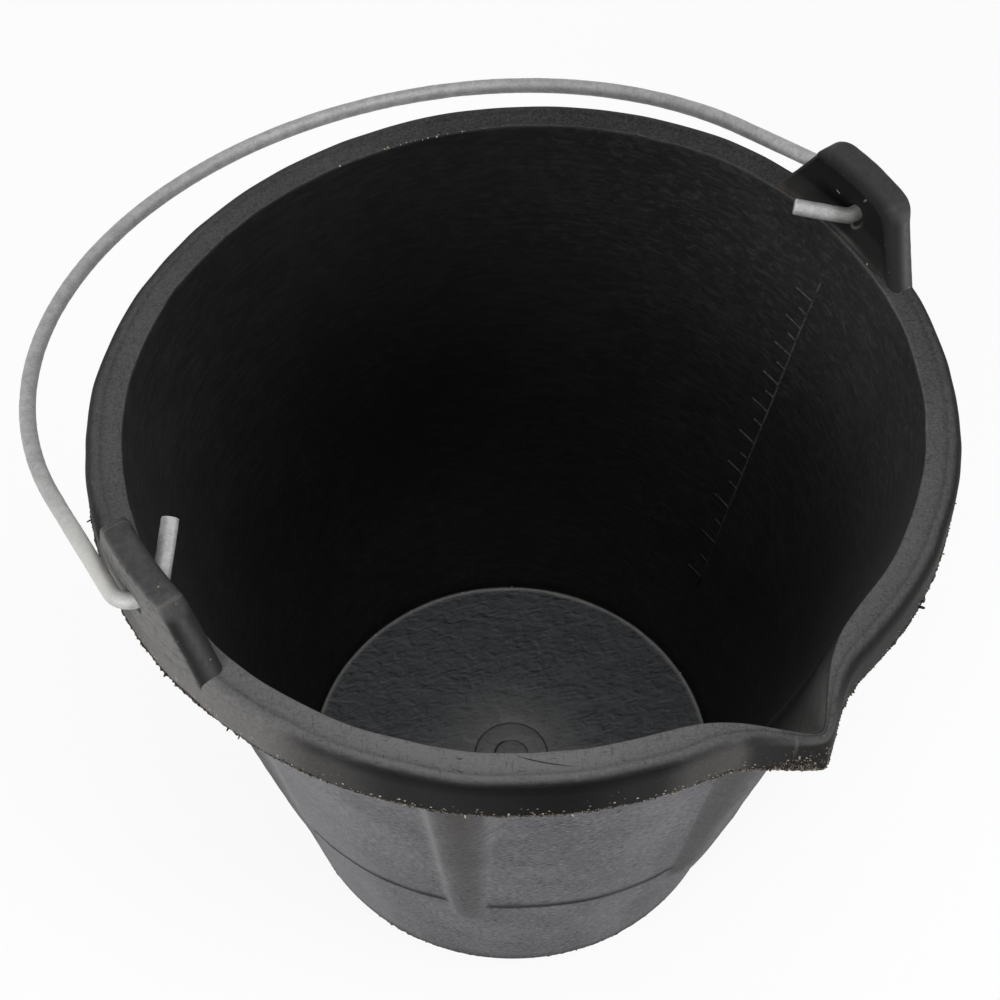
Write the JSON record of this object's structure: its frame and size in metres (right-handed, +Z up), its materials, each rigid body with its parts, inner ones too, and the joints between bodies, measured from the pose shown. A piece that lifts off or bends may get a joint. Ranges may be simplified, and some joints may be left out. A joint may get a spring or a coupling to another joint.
{
  "type": "rubber bucket",
  "caption": "Tapered heavy rubber bucket with a pouring lip, gusset ribs under a thick rim, and a wire bail that swings in upstanding ears.",
  "frame": {"origin": "centre of the flat underside, on the axis of the cone", "axes": "+Z up out of the mouth, +X along the hinge line through the ears, the pouring lip at -Y and the folded bail at +Y"},
  "size_m": [0.36, 0.4009, 0.322],
  "materials": {
    "moulded_rubber": "matte, slightly chalky moulded black rubber",
    "galvanised_wire": "dull galvanised steel wire"
  },
  "bodies": {
    "bucket": {"bucket": "moulded_rubber"},
    "bail": {"bail": "galvanised_wire"}
  },
  "joints": [
    {"name": "bail_hinge", "type": "hinge", "parent": "bucket", "child": "bail", "pos_m": [0, 0, 0.2996], "axis": [1, 0, 0], "range_deg": [-10, 220]}
  ]
}
